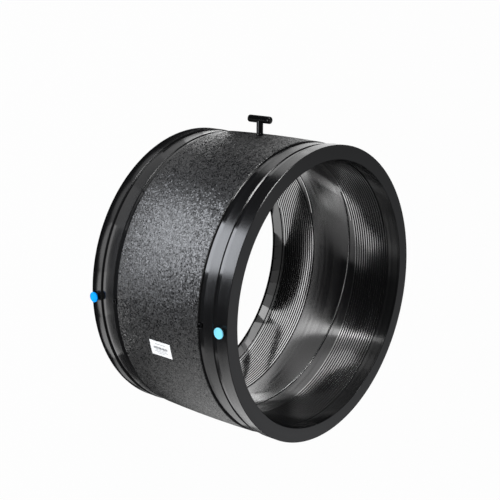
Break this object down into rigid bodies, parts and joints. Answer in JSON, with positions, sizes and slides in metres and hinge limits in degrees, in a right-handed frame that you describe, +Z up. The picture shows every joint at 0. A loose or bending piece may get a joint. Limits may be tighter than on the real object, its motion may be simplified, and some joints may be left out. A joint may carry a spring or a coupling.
{
  "type": "electrofusion coupler",
  "caption": "Wide black polyethylene sleeve that welds two pipe ends, with a wound heating bore, two capped terminals, melt indicators and a T-shaped centre stop.",
  "frame": {"origin": "centre of the bore in the plane of the lower mouth, on which the coupler stands", "axes": "+Z up along the bore's axis to the upper mouth; -Y towards the terminals and melt indicators; -X roughly towards the centre stop pin"},
  "size_m": [0.4794, 0.4547, 0.265],
  "materials": {
    "body": "satin near-black polyethylene, as moulded and turned",
    "winding": "polyethylene-sheathed resistance wire",
    "wire": "bare resistance wire",
    "terminal": "plain brass",
    "azure_cap": "soft azure-blue plastic",
    "turquoise_cap": "soft light turquoise plastic",
    "indicator": "black polyethylene",
    "stop": "glossy black plastic",
    "sticker": "white printed sticker"
  },
  "bodies": {
    "root": {"coupler_body": "body", "crossing_lead": "winding", "stop_pin": "stop", "label": "sticker", "lower_fusion_coil": "winding", "upper_fusion_coil": "winding", "lower_coil_lead": "wire", "upper_coil_lead": "wire", "lower_terminal_pin": "terminal", "upper_terminal_pin": "terminal", "lower_terminal_cap": "azure_cap", "upper_terminal_cap": "turquoise_cap", "lower_indicator_pin": "indicator", "upper_indicator_pin": "indicator"}
  },
  "joints": []
}
